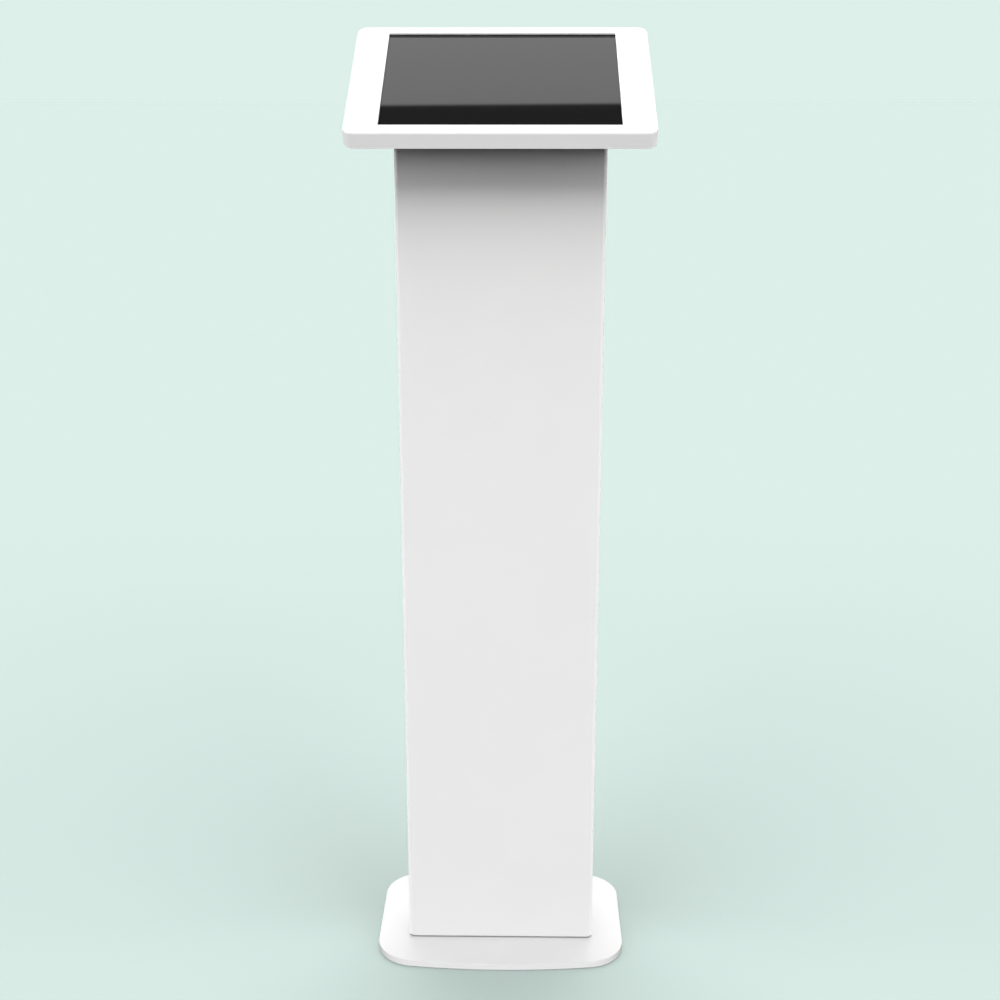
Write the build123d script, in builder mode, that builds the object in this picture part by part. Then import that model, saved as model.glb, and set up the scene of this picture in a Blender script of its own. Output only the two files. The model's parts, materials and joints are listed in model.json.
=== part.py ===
# Tablet pillar stand: a folded sheet-metal column on a bowed base plate, with a tilted head whose
# lid is locked over a tablet. Millimetres, +Z up. The origin is on the floor under the middle of
# the base plate, the user stands on the -Y side, and +X is on the user's right.

import math
import os

from build123d import *

os.makedirs("parts", exist_ok=True)

# Clearances and fastener fits
passing_gap = 0.3
running_clearance = 0.05
screw_clearance = 0.25
thread_clearance = 0.1

# Base plate and its feet
base_width = 320.0
base_depth = 224.0
base_bow_radius = 930.0
base_corner_radius = 50.0
base_thickness = 8.0
base_edge_fillet = 1.0
foot_diameter = 28.0
foot_thickness = 2.0
foot_chamfer = 0.5
foot_inset = 38.0
anchor_spacing_x = 150.0
anchor_spacing_y = 32.0
anchor_hole_radius = 4.5
floor_cable_hole_radius = 15.0

# Column, folded from one sheet, with its flange on the base plate
column_width = 240.0
column_depth = 104.0
column_sheet = 2.0
column_bend = 5.0
foot_bend = 2.5
foot_flange = 22.0
relief_width = 4.0
relief_height = 3.4
outlet_height = 62.0
outlet_hole_radius = 11.0

# Bolts that hold the column down
base_bolt_spacing = 120.0
base_bolt_radius = 3.0
base_bolt_head_radius = 5.0
base_bolt_head_height = 6.0
base_bolt_head_chamfer = 0.5
base_bolt_socket = 5.0
base_bolt_socket_depth = 3.0
base_washer_radius = 6.0
base_washer_thickness = 1.6

# Rear door, with its opening between two flat strips of the column's rear wall
door_side_strip = 28.0
door_opening_height = 640.0
door_opening_sill = 120.0
door_opening_radius = 6.0
door_gap = 1.5
door_sheet = 2.0
door_flange = 12.0
door_bend = 2.5

# Butt hinges of the door
door_hinge_height = 60.0
door_hinge_inset = 60.0
door_hinge_radius = 3.0
door_hinge_pin_radius = 1.5
door_leaf_width = 18.0
door_leaf_thickness = 1.5
door_knuckle_count = 3
door_knuckle_gap = 0.4
door_screw_spacing = 40.0
door_screw_radius = 2.0
door_screw_head_radius = 3.4
door_screw_head_height = 2.0
door_screw_head_chamfer = 1.0
door_screw_length = 6.0

# Cam locks of the door and the lid
lock_body_radius = 8.0
lock_head_radius = 10.0
lock_head_thickness = 2.5
lock_head_chamfer = 0.6
lock_plug_radius = 5.5
lock_plug_recess = 0.4
lock_tail_side = 6.0
lock_nut_flats = 20.0
lock_nut_thickness = 3.0
keyway_width = 1.4
keyway_height = 6.5
keyway_depth = 4.0
cam_thickness = 1.5
cam_width = 10.0
cam_lift = 0.2
cam_play = 0.4
cam_screw_radius = 1.5
cam_screw_head_radius = 3.5
cam_screw_head_height = 1.6
cam_screw_slot_width = 0.8
cam_screw_slot_depth = 0.8
cam_screw_length = 4.0
door_lock_reach = 6.0
door_lock_from_edge = 18.5
door_cam_length = 26.0
door_cam_notch = 4.0
strike_width = 14.0
strike_height = 40.0
strike_corner = 2.0

# Head: the lid's outer size, its tilt from the horizontal, and its near top edge
head_width = 343.0
head_length = 228.6
head_depth = 20.0
head_corner_radius = 12.0
head_bend = 2.5
head_tilt = 30.6
head_overhang = 53.1
head_height = 1039.2
lid_sheet = 2.0
window_side_cover = 6.5
window_end_cover = 8.55
gasket_thickness = 0.6
gasket_gap = 0.2
gasket_inset = 1.2
gasket_width = 4.5

# Tray, the back half of the head
tray_sheet = 1.5
tray_drop = 0.4
tray_gap = 0.8
tray_top_gap = 4.0
tray_bend = 2.5
head_bolt_spacing = 75.0
head_bolt_radius = 2.5
head_bolt_head_radius = 4.75
head_bolt_head_height = 2.75
head_bolt_head_chamfer = 1.4
head_bolt_socket = 3.0
head_bolt_socket_depth = 1.4
head_bolt_length = 12.0
head_cable_hole_radius = 16.0

# Plate that closes the column's slanted top
head_plate_thickness = 3.0
head_plate_corner = 4.0
head_nut_flats = 8.0
head_nut_thickness = 4.0

# Lid hinge along the far edge of the head
lid_hinge_end = 32.0
lid_knuckle_count = 9
lid_knuckle_gap = 0.4
lid_hinge_radius = 2.5
lid_hinge_pin_radius = 1.2
lid_leaf_thickness = 1.2
lid_leaf_width = 16.0
lid_leaf_bend_gap = 0.7
lid_rivet_count = 6
lid_rivet_end = 34.5
lid_rivet_inset = 11.2
lid_rivet_radius = 1.6
lid_rivet_head_radius = 3.0
lid_rivet_head_height = 1.0
lid_rivet_head_chamfer = 0.5

# Lid lock and the keeper that its cam holds
lid_lock_inset = 21.5
lid_lock_up = 70.0
lid_lock_reach = 9.4
lid_cam_length = 14.0
keeper_thickness = 1.5
keeper_lip = 7.2
keeper_length = 24.0

# Tablet, the space around it inside the head, and the blocks at its corners
tablet_side_space = 31.5
tablet_end_space = 7.05
tablet_thickness = 6.4
tablet_corner_radius = 16.0
tablet_edge_fillet = 1.6
tablet_rim = 2.0
glass_thickness = 1.0
display_thickness = 1.6
corner_block_arm = 30.0
corner_block_wall = 12.0
corner_block_drop = 1.2

# Tablet buttons and charging port
port_width = 8.4
port_height = 2.6
port_depth = 7.0
port_above_back = 0.9
button_width = 2.0
button_proud = 0.5
button_depth = 1.0
button_travel = 0.4
button_gap = 0.15
power_button_length = 10.0
power_button_offset = 40.0
volume_button_length = 9.0
volume_button_offset = 62.0
volume_button_spacing = 13.0

# Cable fittings
grommet_lip = 3.0
grommet_lip_thickness = 1.5
bush_lip_chamfer = 0.5
floor_bush_bore_radius = 11.0
outlet_bore_radius = 6.0
head_grommet_bore_radius = 12.0
clip_count = 3
clip_spacing = 260.0
clip_first_height = 240.0
clip_bore_radius = 4.0
clip_wall = 1.6
clip_width = 12.0
clip_base_length = 24.0
clip_mouth = 4.0


# Planes and levels that the pieces share

base_top = foot_thickness + base_thickness
rear = Plane(origin=(0, column_depth / 2, 0), x_dir=(-1, 0, 0), z_dir=(0, 1, 0))

tilt_sin = math.sin(math.radians(head_tilt))
tilt_cos = math.cos(math.radians(head_tilt))
face = Plane(
    origin=(0, -column_depth / 2 - head_overhang, head_height),
    x_dir=(1, 0, 0),
    z_dir=(0, -tilt_sin, tilt_cos),
)
outward = Axis(face.origin, face.z_dir)
head_section = Plane(origin=face.origin, x_dir=face.y_dir, z_dir=(1, 0, 0))


def head_level(depth, across=0.0, up=head_length / 2):
    """Plane parallel to the head's face and this far below it, centred at the given point."""
    return Plane(
        origin=face.from_local_coords(Vector(across, up, -depth)),
        x_dir=face.x_dir,
        z_dir=face.z_dir,
    )


tray_underside = head_depth + tray_drop
tray_floor = tray_underside - tray_sheet
tray_height = tray_underside - lid_sheet - tray_top_gap
tray_width = head_width - 2 * (lid_sheet + tray_gap)
tray_length = head_length - 2 * (lid_sheet + tray_gap)
tablet_width = head_width - 2 * tablet_side_space
tablet_length = head_length - 2 * tablet_end_space
tablet_below_face = lid_sheet + gasket_thickness + gasket_gap
tablet_back_depth = tablet_below_face + tablet_thickness
window_width = tablet_width - 2 * window_side_cover
window_length = tablet_length - 2 * window_end_cover


def finish_piece(piece, name):
    """Name a finished piece and write it out."""
    piece.label = name
    export_step(piece, f"parts/{name}.step")


# Base plate: thick steel, straight sides, bowed front and back, tapped and drilled inside the
# column's footprint

base_side_end = base_depth / 2 - base_bow_radius + math.sqrt(
    base_bow_radius**2 - (base_width / 2) ** 2
)
base_bolt_y = column_depth / 2 - column_sheet - (foot_flange - column_sheet) / 2

with BuildPart() as base_plate:
    with BuildSketch(Plane.XY.offset(foot_thickness)):
        with BuildLine():
            right_side = Line((base_width / 2, -base_side_end), (base_width / 2, base_side_end))
            ThreePointArc(right_side @ 1, (0, base_depth / 2), (-base_width / 2, base_side_end))
            left_side = Line((-base_width / 2, base_side_end), (-base_width / 2, -base_side_end))
            ThreePointArc(left_side @ 1, (0, -base_depth / 2), right_side @ 0)
        make_face()
        fillet(vertices(), base_corner_radius)
    extrude(amount=base_thickness)
    fillet(faces().sort_by(Axis.Z)[-1].edges(), base_edge_fillet)
    with BuildSketch(Plane.XY.offset(base_top)):
        with GridLocations(anchor_spacing_x, anchor_spacing_y, 2, 2):
            Circle(anchor_hole_radius)
        with GridLocations(base_bolt_spacing, 2 * base_bolt_y, 2, 2):
            Circle(base_bolt_radius + thread_clearance)
        Circle(floor_cable_hole_radius)
    extrude(amount=-base_thickness, mode=Mode.SUBTRACT)
finish_piece(base_plate.part, "base_plate")


# Foot pads: four rubber discs glued under the plate

with BuildPart() as foot_pads:
    with BuildSketch(Plane.XY):
        with GridLocations(base_width - 2 * foot_inset, base_depth - 2 * foot_inset, 2, 2):
            Circle(foot_diameter / 2)
    extrude(amount=foot_thickness)
    chamfer(edges().group_by(Axis.Z)[0], foot_chamfer)
finish_piece(foot_pads.part, "foot_pads")


# Hinge line of the rear door, beside the gap round the door

door_opening_width = column_width - 2 * door_side_strip
door_opening_middle = door_opening_sill + door_opening_height / 2
door_hinge_x = door_opening_width / 2 - door_gap / 2
door_hinge_y = column_depth / 2 + door_hinge_radius
door_hinge_heights = (
    door_opening_sill + door_hinge_inset,
    door_opening_sill + door_opening_height - door_hinge_inset,
)


def door_screw_spots(side):
    """Where the hinge screws go in the rear plane: side is 1 on the column, -1 on the door."""
    across = -door_hinge_x - side * door_leaf_width / 2
    ends = (-door_screw_spacing / 2, door_screw_spacing / 2)
    return [(across, middle + end) for middle in door_hinge_heights for end in ends]


# Column: a folded and seamed box, open at the slanted top, with an inward flange at the foot
# that is cut away at the corners where the bends meet

with BuildPart() as column:
    with BuildSketch(Plane.XY.offset(base_top)):
        RectangleRounded(column_width, column_depth, column_bend)
    extrude(amount=head_height + head_length)
    split(bisect_by=head_level(tray_underside), keep=Keep.BOTTOM)
    fillet(faces().sort_by(Axis.Z)[0].edges(), foot_bend)
    offset(amount=-column_sheet, openings=faces().sort_by(Axis.Z)[-1])
    with BuildSketch(Plane.XY.offset(base_top)):
        Rectangle(column_width - 2 * foot_flange, column_depth - 2 * foot_flange)
        with GridLocations(base_bolt_spacing, 2 * base_bolt_y, 2, 2):
            Circle(base_bolt_radius + screw_clearance)
    extrude(amount=column_sheet, mode=Mode.SUBTRACT)
    with BuildSketch(Plane.XY.offset(base_top)):
        with GridLocations(column_width - relief_width, column_depth - relief_width, 2, 2):
            Rectangle(relief_width, relief_width)
    extrude(amount=relief_height, mode=Mode.SUBTRACT)
    with BuildSketch(rear):
        with Locations((0, door_opening_middle)):
            RectangleRounded(door_opening_width, door_opening_height, door_opening_radius)
        with Locations((0, outlet_height)):
            Circle(outlet_hole_radius)
        with Locations(*door_screw_spots(1)):
            Circle(door_screw_radius + thread_clearance)
    extrude(amount=-column_sheet, mode=Mode.SUBTRACT)
finish_piece(column.part, "column")


# Bolts and washers through the flange into the base plate

flange_top = base_top + column_sheet

with BuildPart() as base_washers:
    with BuildSketch(Plane.XY.offset(flange_top)):
        with GridLocations(base_bolt_spacing, 2 * base_bolt_y, 2, 2):
            Circle(base_washer_radius)
            Circle(base_bolt_radius + screw_clearance, mode=Mode.SUBTRACT)
    extrude(amount=base_washer_thickness)
finish_piece(base_washers.part, "base_washers")

washer_top = flange_top + base_washer_thickness

with BuildPart() as base_bolts:
    with BuildSketch(Plane.XY.offset(foot_thickness + base_edge_fillet)):
        with GridLocations(base_bolt_spacing, 2 * base_bolt_y, 2, 2):
            Circle(base_bolt_radius)
    extrude(amount=washer_top - foot_thickness - base_edge_fillet)
    with BuildSketch(Plane.XY.offset(washer_top)):
        with GridLocations(base_bolt_spacing, 2 * base_bolt_y, 2, 2):
            Circle(base_bolt_head_radius)
    extrude(amount=base_bolt_head_height)
    chamfer(edges().group_by(Axis.Z)[-1], base_bolt_head_chamfer)
    with BuildSketch(Plane.XY.offset(washer_top + base_bolt_head_height)):
        with GridLocations(base_bolt_spacing, 2 * base_bolt_y, 2, 2):
            RegularPolygon(base_bolt_socket / 2, 6, major_radius=False)
    extrude(amount=-base_bolt_socket_depth, mode=Mode.SUBTRACT)
finish_piece(base_bolts.part, "base_bolts")


# Rubber grommets: a neck in the hole and a lip on each side of the wall


def grommet(middle, wall, hole_radius, bore_radius):
    """A grommet centred in a wall of this thickness, its axis along the plane's normal."""
    half = wall / 2 + grommet_lip_thickness
    with BuildPart() as ring:
        with BuildSketch(middle):
            Circle(hole_radius - thread_clearance)
        extrude(amount=half, both=True)
        for side in (middle.offset(wall / 2), middle.offset(-half)):
            with BuildSketch(side):
                Circle(hole_radius + grommet_lip)
            extrude(amount=grommet_lip_thickness)
        with BuildSketch(middle):
            Circle(bore_radius)
        extrude(amount=half, both=True, mode=Mode.SUBTRACT)
    return ring.part


outlet_middle = Plane(
    origin=(0, column_depth / 2 - column_sheet / 2, outlet_height), z_dir=(0, 1, 0)
)
finish_piece(
    grommet(outlet_middle, column_sheet, outlet_hole_radius, outlet_bore_radius),
    "outlet_grommet",
)


# Bush in the base plate's cable hole, with its lip on the plate's top only

with BuildPart() as floor_bush:
    with BuildSketch(Plane.XY.offset(foot_thickness)):
        Circle(floor_cable_hole_radius - thread_clearance)
    extrude(amount=base_thickness)
    with BuildSketch(Plane.XY.offset(base_top)):
        Circle(floor_cable_hole_radius + grommet_lip)
    extrude(amount=grommet_lip_thickness)
    chamfer(edges().group_by(Axis.Z)[-1], bush_lip_chamfer)
    with BuildSketch(Plane.XY.offset(foot_thickness)):
        Circle(floor_bush_bore_radius)
    extrude(amount=base_thickness + grommet_lip_thickness, mode=Mode.SUBTRACT)
finish_piece(floor_bush.part, "floor_bush")


# Cable clips: open plastic saddles on the column's inner front wall

clip_radius = clip_bore_radius + clip_wall
column_front_inside = -column_depth / 2 + column_sheet

with BuildPart() as cable_clips:
    for clip in range(clip_count):
        with BuildSketch(Plane.XY.offset(clip_first_height + clip * clip_spacing)):
            with Locations((0, column_front_inside + clip_wall / 2)):
                Rectangle(clip_base_length, clip_wall)
            with Locations((0, column_front_inside + clip_radius)):
                Circle(clip_radius)
                Circle(clip_bore_radius, mode=Mode.SUBTRACT)
            with Locations((0, column_front_inside + 2 * clip_radius)):
                Rectangle(clip_mouth, 2 * clip_radius, mode=Mode.SUBTRACT)
        extrude(amount=clip_width)
finish_piece(cable_clips.part, "cable_clips")


# Rear door: a shallow folded pan, flush in its opening, notched behind the lock's cam

door_width = door_opening_width - 2 * door_gap
door_height = door_opening_height - 2 * door_gap
door_free_edge = -door_width / 2
door_lock_x = door_free_edge + door_lock_from_edge
door_lock_height = door_opening_middle
door_lock_depth = door_lock_reach + cam_lift

door_lock_mount = Plane(
    origin=(door_lock_x, column_depth / 2, door_lock_height), x_dir=(1, 0, 0), z_dir=(0, -1, 0)
)

with BuildPart() as rear_door:
    with BuildSketch(rear):
        with Locations((0, door_opening_middle)):
            RectangleRounded(door_width, door_height, door_opening_radius - door_gap)
    extrude(amount=-door_flange)
    fillet(faces().sort_by(Axis.Y)[-1].edges(), door_bend)
    offset(amount=-door_sheet, openings=faces().sort_by(Axis.Y)[0])
    with BuildSketch(rear.offset(-door_lock_depth + passing_gap)):
        with Locations((-door_free_edge, door_lock_height + cam_width - door_cam_length / 2)):
            Rectangle(2 * door_cam_notch, door_cam_length + 2 * cam_width)
    extrude(amount=-door_flange, mode=Mode.SUBTRACT)
    with BuildSketch(rear):
        with Locations((-door_lock_x, door_lock_height)):
            Circle(lock_body_radius + thread_clearance)
        with Locations(*door_screw_spots(-1)):
            Circle(door_screw_radius + thread_clearance)
    extrude(amount=-door_sheet, mode=Mode.SUBTRACT)
finish_piece(rear_door.part, "rear_door")


# Butt hinges of the door: outer knuckles on the column's leaf, the middle one on the door's leaf

knuckle_height = door_hinge_height / door_knuckle_count
leaf_edge_gap = door_hinge_radius + passing_gap


def door_hinge_leaf(side, knuckles):
    """The two leaves on one side of the hinge line; knuckles counts them from the bottom."""
    with BuildPart() as leaves:
        for middle in door_hinge_heights:
            bottom = middle - door_hinge_height / 2
            with BuildSketch(Plane.XY.offset(bottom)):
                with Locations((door_hinge_x + side * leaf_edge_gap, column_depth / 2)):
                    Rectangle(
                        door_leaf_width - leaf_edge_gap,
                        door_leaf_thickness,
                        align=(Align.MIN if side > 0 else Align.MAX, Align.MIN),
                    )
            extrude(amount=door_hinge_height)
            for knuckle in knuckles:
                start = bottom + knuckle * knuckle_height + door_knuckle_gap / 2
                with BuildSketch(Plane.XY.offset(start)):
                    with Locations((door_hinge_x, door_hinge_y)):
                        Circle(door_hinge_radius)
                    with Locations((door_hinge_x, column_depth / 2)):
                        Rectangle(
                            leaf_edge_gap,
                            door_leaf_thickness,
                            align=(Align.MIN if side > 0 else Align.MAX, Align.MIN),
                        )
                extrude(amount=knuckle_height - door_knuckle_gap)
            with BuildSketch(Plane.XY.offset(bottom)):
                with Locations((door_hinge_x, door_hinge_y)):
                    Circle(door_hinge_pin_radius + running_clearance)
            extrude(amount=door_hinge_height, mode=Mode.SUBTRACT)
        with BuildSketch(rear):
            with Locations(*door_screw_spots(side)):
                Circle(door_screw_radius + screw_clearance)
        extrude(amount=door_leaf_thickness, mode=Mode.SUBTRACT)
    return leaves.part


finish_piece(door_hinge_leaf(1, range(0, door_knuckle_count, 2)), "door_hinge_column_leaves")
finish_piece(door_hinge_leaf(-1, range(1, door_knuckle_count, 2)), "door_hinge_door_leaves")

with BuildPart() as door_hinge_pins:
    for middle in door_hinge_heights:
        with BuildSketch(Plane.XY.offset(middle - door_hinge_height / 2)):
            with Locations((door_hinge_x, door_hinge_y)):
                Circle(door_hinge_pin_radius)
        extrude(amount=door_hinge_height)
finish_piece(door_hinge_pins.part, "door_hinge_pins")


def door_hinge_screws(side):
    """Pan-head screws through the leaves on one side of the hinge line."""
    with BuildPart() as screws:
        with BuildSketch(rear.offset(door_leaf_thickness)):
            with Locations(*door_screw_spots(side)):
                Circle(door_screw_head_radius)
        extrude(amount=door_screw_head_height)
        chamfer(edges().group_by(Axis.Y)[-1], door_screw_head_chamfer)
        with BuildSketch(rear.offset(door_leaf_thickness)):
            with Locations(*door_screw_spots(side)):
                Circle(door_screw_radius)
        extrude(amount=-door_screw_length)
    return screws.part


finish_piece(door_hinge_screws(1), "door_hinge_column_screws")
finish_piece(door_hinge_screws(-1), "door_hinge_door_screws")


# Cam locks. Each mount plane lies on the panel's outer face, with its normal into the stand.


def cam_lock(name, mount, panel, reach, cam_length, cam_angle):
    """Build a lock's five pieces; the cam points along cam_angle in the mount plane at rest."""
    with BuildPart() as barrel:
        with BuildSketch(mount):
            Circle(lock_body_radius)
        extrude(amount=reach)
        with BuildSketch(mount):
            Circle(lock_head_radius)
        extrude(amount=-lock_head_thickness)
        rim = edges().sort_by(Axis(mount.origin, mount.z_dir))[0]
        chamfer(rim, lock_head_chamfer)
        with BuildSketch(mount.offset(-lock_head_thickness)):
            Circle(lock_plug_radius + running_clearance)
        extrude(amount=lock_head_thickness + reach, mode=Mode.SUBTRACT)
    finish_piece(barrel.part, f"{name}_barrel")

    with BuildPart() as nut:
        with BuildSketch(mount.offset(panel)):
            RegularPolygon(lock_nut_flats / 2, 6, major_radius=False)
            Circle(lock_body_radius + thread_clearance, mode=Mode.SUBTRACT)
        extrude(amount=lock_nut_thickness)
    finish_piece(nut.part, f"{name}_nut")

    shoulder = mount.offset(reach + cam_lift)
    plug_front = mount.offset(lock_plug_recess - lock_head_thickness)
    with BuildPart() as plug:
        with BuildSketch(plug_front):
            Circle(lock_plug_radius)
        extrude(amount=lock_head_thickness - lock_plug_recess + reach + cam_lift)
        with BuildSketch(shoulder):
            Rectangle(lock_tail_side, lock_tail_side)
        extrude(amount=cam_thickness)
        with BuildSketch(plug_front):
            Rectangle(keyway_width, keyway_height)
        extrude(amount=keyway_depth, mode=Mode.SUBTRACT)
        with BuildSketch(shoulder.offset(cam_thickness)):
            Circle(cam_screw_radius + thread_clearance)
        extrude(amount=-cam_screw_length, mode=Mode.SUBTRACT)
    finish_piece(plug.part, f"{name}_plug")

    cam_tip_centre = cam_length - cam_width / 2
    with BuildPart() as cam:
        with BuildSketch(shoulder):
            Circle(lock_body_radius)
            with Locations(Rotation(0, 0, cam_angle)):
                with Locations((cam_tip_centre / 2, 0)):
                    SlotCenterToCenter(cam_tip_centre, cam_width)
            Rectangle(
                lock_tail_side + 2 * thread_clearance,
                lock_tail_side + 2 * thread_clearance,
                mode=Mode.SUBTRACT,
            )
        extrude(amount=cam_thickness)
    finish_piece(cam.part, f"{name}_cam")

    with BuildPart() as screw:
        with BuildSketch(shoulder.offset(cam_thickness)):
            Circle(cam_screw_radius)
        extrude(amount=-cam_screw_length)
        with BuildSketch(shoulder.offset(cam_thickness)):
            Circle(cam_screw_head_radius)
        extrude(amount=cam_screw_head_height)
        slot_plane = shoulder.offset(cam_thickness + cam_screw_head_height)
        with BuildSketch(slot_plane):
            Rectangle(2 * cam_screw_head_radius, cam_screw_slot_width)
        extrude(amount=-cam_screw_slot_depth, mode=Mode.SUBTRACT)
    finish_piece(screw.part, f"{name}_cam_screw")


cam_lock("door_lock", door_lock_mount, door_sheet, door_lock_reach, door_cam_length, -90)


# Strike: a packer behind the rear wall, which the door's cam passes behind

strike_thickness = door_lock_depth - column_sheet - cam_play

with BuildPart() as door_strike:
    with BuildSketch(rear.offset(-column_sheet)):
        with Locations((door_opening_width / 2 + strike_width / 2, door_lock_height)):
            RectangleRounded(strike_width, strike_height, strike_corner)
    extrude(amount=-strike_thickness)
finish_piece(door_strike.part, "door_strike")


# Head plate: closes the slanted top of the column and carries the head

head_plate_depth = tray_underside + head_plate_thickness
column_middle_up = (
    column_depth / 2 + head_overhang - (tray_underside + head_plate_thickness / 2) * tilt_sin
) / tilt_cos
head_plate_width = column_width - 2 * column_sheet - 2 * passing_gap
head_plate_length = (
    column_depth - 2 * column_sheet - 2 * passing_gap - head_plate_thickness * tilt_sin
) / tilt_cos

with BuildPart() as head_plate:
    with BuildSketch(head_level(head_plate_depth, up=column_middle_up)):
        RectangleRounded(head_plate_width, head_plate_length, head_plate_corner)
        with GridLocations(head_bolt_spacing, head_bolt_spacing, 2, 2):
            Circle(head_bolt_radius + screw_clearance, mode=Mode.SUBTRACT)
        Circle(head_cable_hole_radius, mode=Mode.SUBTRACT)
    extrude(amount=head_plate_thickness)
finish_piece(head_plate.part, "head_plate")

with BuildPart() as head_nuts:
    with BuildSketch(head_level(head_plate_depth + head_nut_thickness, up=column_middle_up)):
        with GridLocations(head_bolt_spacing, head_bolt_spacing, 2, 2):
            RegularPolygon(head_nut_flats / 2, 6, major_radius=False)
            Circle(head_bolt_radius + thread_clearance, mode=Mode.SUBTRACT)
    extrude(amount=head_nut_thickness)
finish_piece(head_nuts.part, "head_nuts")


# Tray: the back half of the head, a folded pan inside the lid's skirt

lid_lock_across = head_width / 2 - lid_lock_inset
lid_lock_mount = head_level(tray_underside, lid_lock_across, lid_lock_up)
lid_hinge_length = head_width - 2 * lid_hinge_end
lid_leaf_edge = head_length - passing_gap
lid_rivet_spacing = (lid_hinge_length - 2 * lid_rivet_end) / (lid_rivet_count - 1)
tray_rivet_up = lid_leaf_edge - lid_rivet_inset

with BuildPart() as tray:
    with BuildSketch(head_level(tray_underside)):
        RectangleRounded(tray_width, tray_length, head_corner_radius - lid_sheet - tray_gap)
    extrude(amount=tray_height)
    fillet(faces().sort_by(outward)[0].edges(), tray_bend)
    offset(amount=-tray_sheet, openings=faces().sort_by(outward)[-1])
    with BuildSketch(head_level(tray_underside, up=column_middle_up)):
        with GridLocations(head_bolt_spacing, head_bolt_spacing, 2, 2):
            Circle(head_bolt_radius + screw_clearance)
        Circle(head_cable_hole_radius)
    with BuildSketch(head_level(tray_underside, up=tray_rivet_up)):
        with GridLocations(lid_rivet_spacing, 1, lid_rivet_count, 1):
            Circle(lid_rivet_radius + thread_clearance)
    with BuildSketch(lid_lock_mount):
        Circle(lock_body_radius + thread_clearance)
    extrude(amount=tray_sheet, mode=Mode.SUBTRACT)
finish_piece(tray.part, "tray")


# Screws from inside the tray into the head plate's nuts, and the cable grommet between them

with BuildPart() as head_screws:
    with BuildSketch(head_level(tray_floor, up=column_middle_up)):
        with GridLocations(head_bolt_spacing, head_bolt_spacing, 2, 2):
            Circle(head_bolt_head_radius)
    extrude(amount=head_bolt_head_height)
    chamfer(edges().group_by(outward)[-1], head_bolt_head_chamfer)
    with BuildSketch(head_level(tray_floor, up=column_middle_up)):
        with GridLocations(head_bolt_spacing, head_bolt_spacing, 2, 2):
            Circle(head_bolt_radius)
    extrude(amount=-head_bolt_length)
    with BuildSketch(head_level(tray_floor - head_bolt_head_height, up=column_middle_up)):
        with GridLocations(head_bolt_spacing, head_bolt_spacing, 2, 2):
            RegularPolygon(head_bolt_socket / 2, 6, major_radius=False)
    extrude(amount=-head_bolt_socket_depth, mode=Mode.SUBTRACT)
finish_piece(head_screws.part, "head_screws")

grommet_wall = tray_sheet + head_plate_thickness
grommet_middle = head_level(tray_floor + grommet_wall / 2, up=column_middle_up)
finish_piece(
    grommet(grommet_middle, grommet_wall, head_cable_hole_radius, head_grommet_bore_radius),
    "head_grommet",
)


# Front frame, the lid: a folded pan over the tray with rounded corners and a square-cut window

with BuildPart() as front_frame:
    with BuildSketch(head_level(head_depth)):
        RectangleRounded(head_width, head_length, head_corner_radius)
    extrude(amount=head_depth)
    fillet(faces().sort_by(outward)[-1].edges(), head_bend)
    offset(amount=-lid_sheet, openings=faces().sort_by(outward)[0])
    with BuildSketch(head_level(0)):
        Rectangle(window_width, window_length)
    extrude(amount=-lid_sheet, mode=Mode.SUBTRACT)
finish_piece(front_frame.part, "front_frame")


# Window gasket: thin black foam on the lid's inside, set back from the window's edge

with BuildPart() as window_gasket:
    with BuildSketch(head_level(lid_sheet)):
        Rectangle(
            window_width + 2 * (gasket_inset + gasket_width),
            window_length + 2 * (gasket_inset + gasket_width),
        )
        Rectangle(
            window_width + 2 * gasket_inset,
            window_length + 2 * gasket_inset,
            mode=Mode.SUBTRACT,
        )
    extrude(amount=-gasket_thickness)
finish_piece(window_gasket.part, "window_gasket")


# Lid hinge: a knuckled strip along the far edge, one leaf under the tray and one on the lid

lid_hinge_up = head_length + lid_hinge_radius
lid_hinge_depth = tray_underside + lid_hinge_radius
lid_knuckle_pitch = lid_hinge_length / lid_knuckle_count
lid_hinge_start = head_section.offset(-lid_hinge_length / 2)


def lid_hinge_strip(first, leaf_corner, leaf_size, tongue_corner, tongue_size):
    """One leaf with every second knuckle; corners are (up, -depth) of the head's section."""
    with BuildPart() as leaf:
        with BuildSketch(lid_hinge_start):
            with Locations(leaf_corner):
                Rectangle(*leaf_size, align=(Align.MIN, Align.MIN))
        extrude(amount=lid_hinge_length)
        for knuckle in range(first, lid_knuckle_count, 2):
            start = knuckle * lid_knuckle_pitch + lid_knuckle_gap / 2
            with BuildSketch(lid_hinge_start.offset(start)):
                with Locations((lid_hinge_up, -lid_hinge_depth)):
                    Circle(lid_hinge_radius)
                with Locations(tongue_corner):
                    Rectangle(*tongue_size, align=(Align.MIN, Align.MIN))
            extrude(amount=lid_knuckle_pitch - lid_knuckle_gap)
        with BuildSketch(lid_hinge_start):
            with Locations((lid_hinge_up, -lid_hinge_depth)):
                Circle(lid_hinge_pin_radius + running_clearance)
        extrude(amount=lid_hinge_length, mode=Mode.SUBTRACT)
    return leaf.part


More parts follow.
